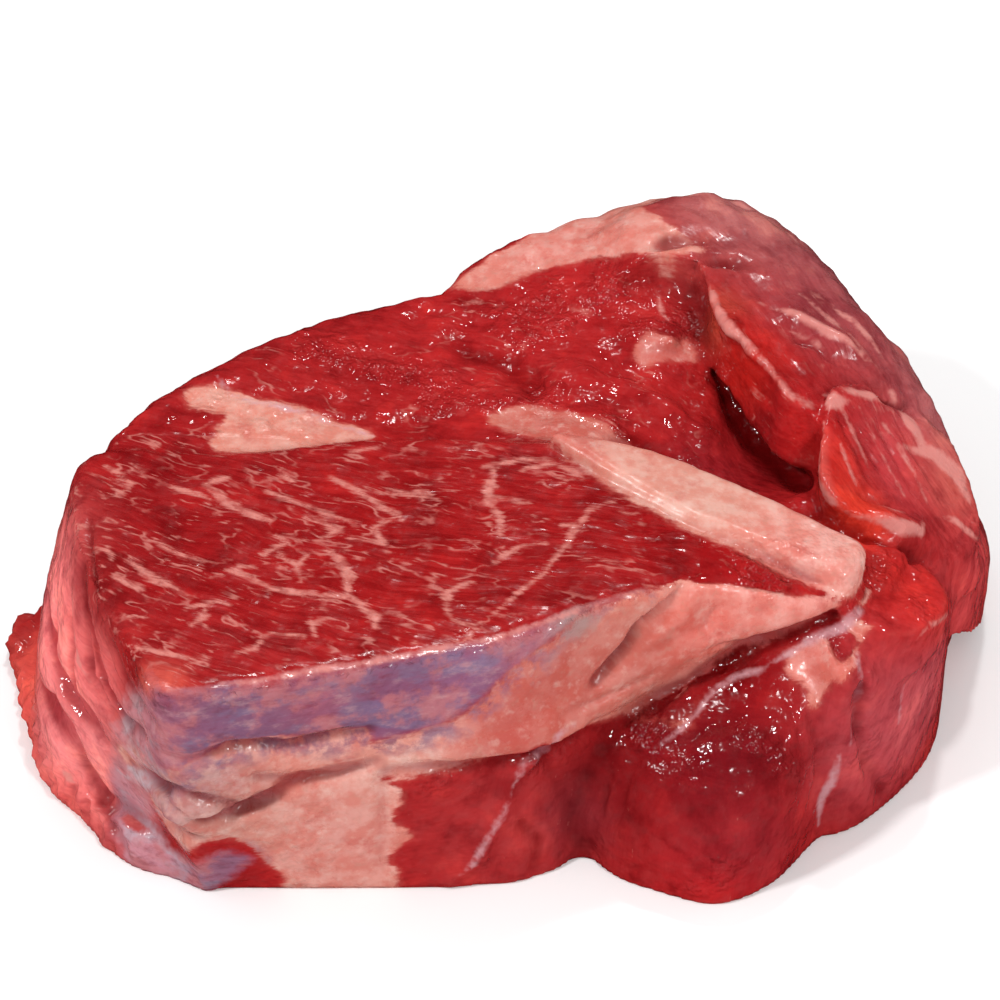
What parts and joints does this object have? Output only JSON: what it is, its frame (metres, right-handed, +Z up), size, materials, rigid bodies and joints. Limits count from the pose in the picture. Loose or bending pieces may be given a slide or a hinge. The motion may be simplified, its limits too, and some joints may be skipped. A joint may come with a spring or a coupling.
{
  "type": "boneless beef steak",
  "caption": "Thick boneless raw beef steak with a flat marbled cut face, a raised cap over a deep cleft, bulging side lobes and a flat underside.",
  "frame": {"origin": "middle of the footprint, on the surface that the steak lies on", "axes": "+X along the length, from the layered left wall to the heel; +Y from the front wall, which bears the fat seam, to the back; +Z up, out of the flat marbled cut face"},
  "size_m": [0.1873, 0.138, 0.0668],
  "materials": {
    "meat": "raw lean beef with cream fat and silverskin, wet"
  },
  "bodies": {
    "root": {"steak": "meat"}
  },
  "joints": []
}
